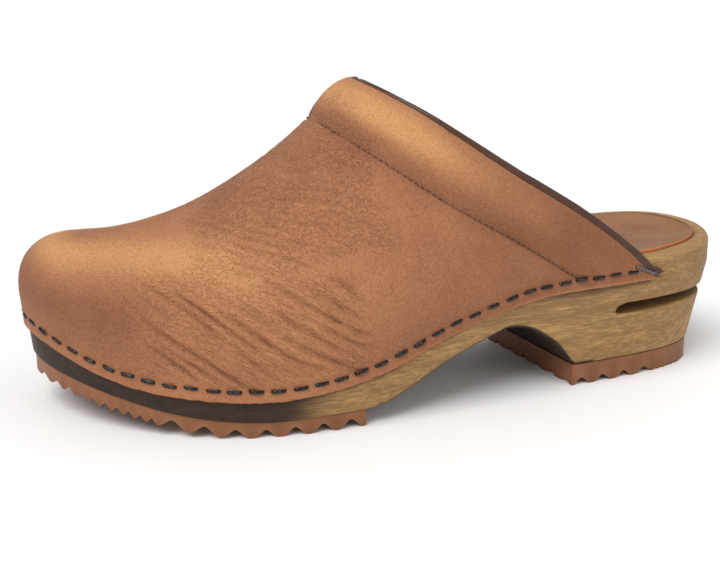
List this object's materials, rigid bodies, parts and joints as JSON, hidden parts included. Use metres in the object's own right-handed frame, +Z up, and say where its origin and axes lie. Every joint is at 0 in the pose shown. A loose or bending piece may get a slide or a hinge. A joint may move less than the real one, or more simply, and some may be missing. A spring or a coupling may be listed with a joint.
{
  "type": "wooden clog",
  "caption": "Open-backed leather clog on a carved wooden sole with a sprung heel slot and ribbed rubber treads, the upper stapled round the edge of the wood.",
  "frame": {"origin": "on the floor under the middle of the shoe's bounding box", "axes": "+X from the heel to the toe, +Y to the outer side of the left foot, +Z up"},
  "size_m": [0.2573, 0.1006, 0.1111],
  "materials": {
    "sole_wood": "stained and waxed, satin",
    "insole_suede": "brown suede with a raw tan edge",
    "tread_rubber": "translucent crepe brown, satin",
    "upper_leather": "oiled nubuck, matt with a soft sheen",
    "collar_foam": "soft foam, hidden",
    "lining_leather": "smooth lining leather",
    "piping_leather": "glossy dark brown binding",
    "seam_thread": "waxed thread",
    "staple_wire": "blackened steel",
    "nail_steel": "bright steel"
  },
  "bodies": {
    "root": {"wooden_sole": "sole_wood", "insole_cover": "insole_suede", "forefoot_outsole": "tread_rubber", "heel_outsole": "tread_rubber", "upper": "upper_leather", "collar_padding": "collar_foam", "collar_lining": "lining_leather", "topline_piping": "piping_leather", "seam_stitching": "seam_thread", "outer_staples": "staple_wire", "inner_staples": "staple_wire", "toe_staples": "staple_wire", "piping_end_staples": "staple_wire", "forefoot_nails": "nail_steel", "heel_nails": "nail_steel"}
  },
  "joints": []
}
